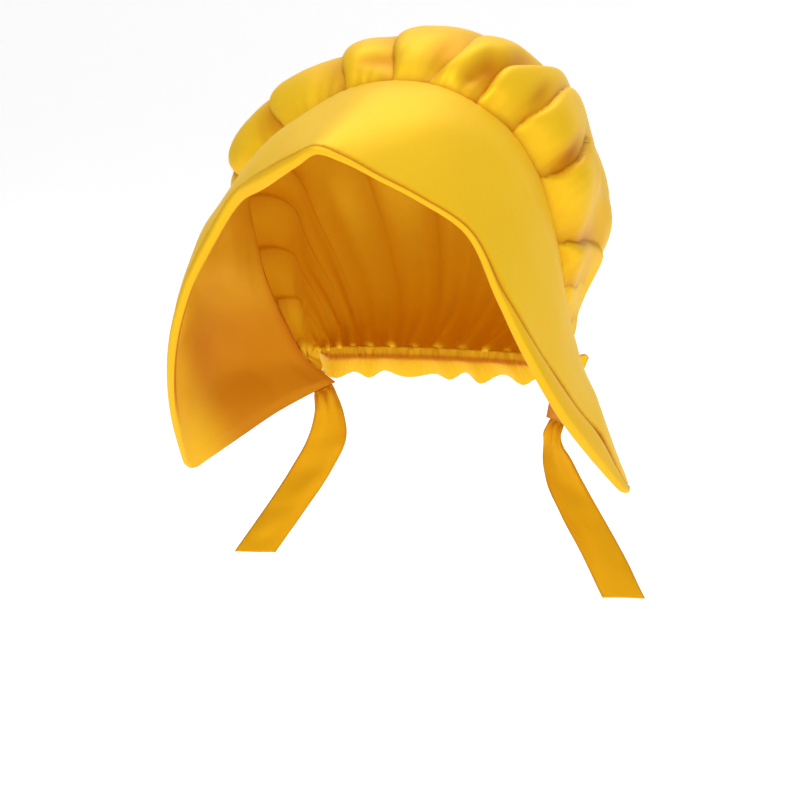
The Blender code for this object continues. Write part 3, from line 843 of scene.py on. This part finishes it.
def tie_cloth(side, x, y):
    """The middle of a tie, with pinched creases by the seam and a slight curl across it, and its painted
    shade.
    """
    rows = TIE_LEFT_SECTIONS if side > 0 else TIE_RIGHT_SECTIONS
    out, back, down, heading, width = (smooth(rows, TIE_COLUMNS, name, y) for name in TIE_COLUMNS[1:])
    corner_at = np.array([float(side)])
    reach = rib_length(corner_at)
    share = (TIE_SEAM_INSET + TIE_WIDTH * rows[0][TIE_COLUMNS.index("width")] / 2) / reach
    corner = rib(corner_at, share)
    below = unit(corner - rib(corner_at * ALONG_FLAP, share))
    start = corner - rib_normal(corner_at, share) * (CLOTH + SEW_GAP / 2) + below * (2 * SEW_GAP)
    centre = start + np.stack((side * TIE_SPREAD * out, TIE_SPREAD * back, -TIE_FALL * down), -1)
    turn = np.radians(heading)
    level = np.stack((side * np.cos(turn), np.sin(turn), np.zeros_like(turn)), -1)
    edge = unit(rib(corner_at, share + ALONG_EDGE) - corner)
    turned = smooth_step(y / TIE_TURN)[:, None]
    wide = unit(edge * (1 - turned) + level * turned)
    facing_out = unit(np.cross(wide, np.array((0.0, 0.0, 1.0))))
    across = x - 0.5
    from_edge = 0.5 - np.abs(across)
    pinch = PINCH_DEPTH * np.cos(across * PINCH_TURNS) * bump(y, PINCH_REACH) * smooth_step(y / PINCH_START)
    crumple = unevenness(across * 2, y * CRUMPLES_ALONG, seed=41.0) * smooth_step(y / CURL_START)
    curl = (CURL_DEPTH * (across * 2) ** 2 + CRUMPLE_DEPTH * crumple) * smooth_step(y / CURL_START)
    height = pinch + curl - PRESSED_EDGE * bump(from_edge, PRESSED_WIDTH)
    points = centre + wide * (TIE_WIDTH * width * across)[:, None] + facing_out * height[:, None]
    # Painted shade by the seam and along both edges.
    shade = TIE_SEAM_PAINTED_SHADE * bump(y, TIE_SEAM_SHADE_REACH)
    shade = shade + TIE_EDGE_PAINTED_SHADE * bump(from_edge, TIE_EDGE_SHADE_WIDTH)
    return points, np.clip(shade, 0.0, 1.0)


TIE_FLAT = (0.024, 0.110)
for name, side in (("tie_left", 1), ("tie_right", -1)):
    tie = cloth(
        name + "_cloth",
        (TIE_WIDTH_STEPS, TIE_STEPS),
        lambda x, y: tie_cloth(side, x, y),
        TIE_CLOTH,
        TIE_FLAT,
        # The deep colour is the colour of the painted shade.
        satin(name + "_satin", light="#F2B416", deep="#C86E08"),
    )
    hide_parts(name)

# The studio is a pale paper sweep, which lies below the ties' ends and curves up well behind the
# bonnet, with one large soft light in front, a weaker one above and behind, and one from the left.
FLOOR_LEVEL = -0.32
SWEEP_HALF_WIDTH = 3.0
SWEEP_FRONT = -2.6
SWEEP_BACK = 2.2
SWEEP_RADIUS = 0.9
SWEEP_TOP = 2.6
SWEEP_STEPS = 16


def sweep():
    """Floor, curve and back wall as one strip."""
    profile = [(SWEEP_FRONT, FLOOR_LEVEL)]
    for i in range(SWEEP_STEPS + 1):
        turn = math.radians(90 * i / SWEEP_STEPS)
        rise = SWEEP_RADIUS * (1 - math.cos(turn))
        profile.append((SWEEP_BACK + SWEEP_RADIUS * math.sin(turn), FLOOR_LEVEL + rise))
    profile.append((SWEEP_BACK + SWEEP_RADIUS, SWEEP_TOP))
    bm = bmesh.new()
    bmesh.ops.create_grid(bm, x_segments=1, y_segments=len(profile) - 1, size=0.5)
    for vert in bm.verts:
        y, z = profile[round((vert.co.y + 0.5) * (len(profile) - 1))]
        vert.co = (vert.co.x * 2 * SWEEP_HALF_WIDTH, y, z)
    mesh = bpy.data.meshes.new("studio_sweep")
    bm.to_mesh(mesh)
    bm.free()
    mesh.shade_smooth()
    paper = bpy.data.materials.new("pale_paper")
    paper.use_nodes = True
    shader = paper.node_tree.nodes["Principled BSDF"]
    shader.inputs["Base Color"].default_value = linear("#F6F6F6")
    shader.inputs["Roughness"].default_value = 0.9
    shader.inputs["Specular IOR Level"].default_value = 0.1
    shader.inputs["Emission Color"].default_value = linear("#FFFFFF")
    shader.inputs["Emission Strength"].default_value = 0.46
    mesh.materials.append(paper)
    made = bpy.data.objects.new("studio_sweep", mesh)
    bpy.context.scene.collection.objects.link(made)


def softbox(name, place, target, size, power):
    """A square white area light that faces a point."""
    data = bpy.data.lights.new(name, "AREA")
    data.shape = "SQUARE"
    data.size = size
    data.energy = power
    light = bpy.data.objects.new(name, data)
    bpy.context.scene.collection.objects.link(light)
    light.location = place
    light.rotation_euler = (Vector(target) - Vector(place)).to_track_quat("-Z", "Y").to_euler()


sweep()
MIDDLE = (0.0, 0.0, -0.10)
softbox("key", (-0.05, -1.35, 1.50), MIDDLE, 0.9, 24.0)
softbox("top", (-0.20, 0.75, 1.25), MIDDLE, 0.9, 8.0)
softbox("fill", (1.50, -0.90, 0.60), MIDDLE, 1.2, 6.0)

world = bpy.data.worlds.new("studio")
bpy.context.scene.world = world
world.use_nodes = True
world.node_tree.nodes["Background"].inputs["Color"].default_value = (1.0, 1.0, 1.0, 1.0)
world.node_tree.nodes["Background"].inputs["Strength"].default_value = 0.30
bpy.context.scene.view_settings.view_transform = "Standard"

# The camera stands in front and a little to the wearer's left, slightly above the brim. The origin's
# place in the picture and the scale are in pixels.
AZIMUTH = math.radians(20)
ELEVATION = math.radians(8)
DISTANCE = 2.0
PIXELS_PER_METRE = 1850.0
IMAGE_SIZE = 800
ORIGIN_PIXEL = (387.0, 80.0)

right = Vector((math.cos(AZIMUTH), math.sin(AZIMUTH), 0.0))
forward = Vector((
    -math.sin(AZIMUTH) * math.cos(ELEVATION),
    math.cos(AZIMUTH) * math.cos(ELEVATION),
    -math.sin(ELEVATION),
))
upward = right.cross(forward)
aim = right * ((IMAGE_SIZE / 2 - ORIGIN_PIXEL[0]) / PIXELS_PER_METRE)
aim -= upward * ((IMAGE_SIZE / 2 - ORIGIN_PIXEL[1]) / PIXELS_PER_METRE)
camera_data = bpy.data.cameras.new("camera")
camera_data.sensor_width = 36.0
camera_data.lens = PIXELS_PER_METRE * DISTANCE / IMAGE_SIZE * camera_data.sensor_width
camera = bpy.data.objects.new("camera", camera_data)
bpy.context.scene.collection.objects.link(camera)
turned = Matrix((right, upward, -forward)).transposed().to_4x4()
camera.matrix_world = Matrix.Translation(aim - forward * DISTANCE) @ turned
bpy.context.scene.camera = camera
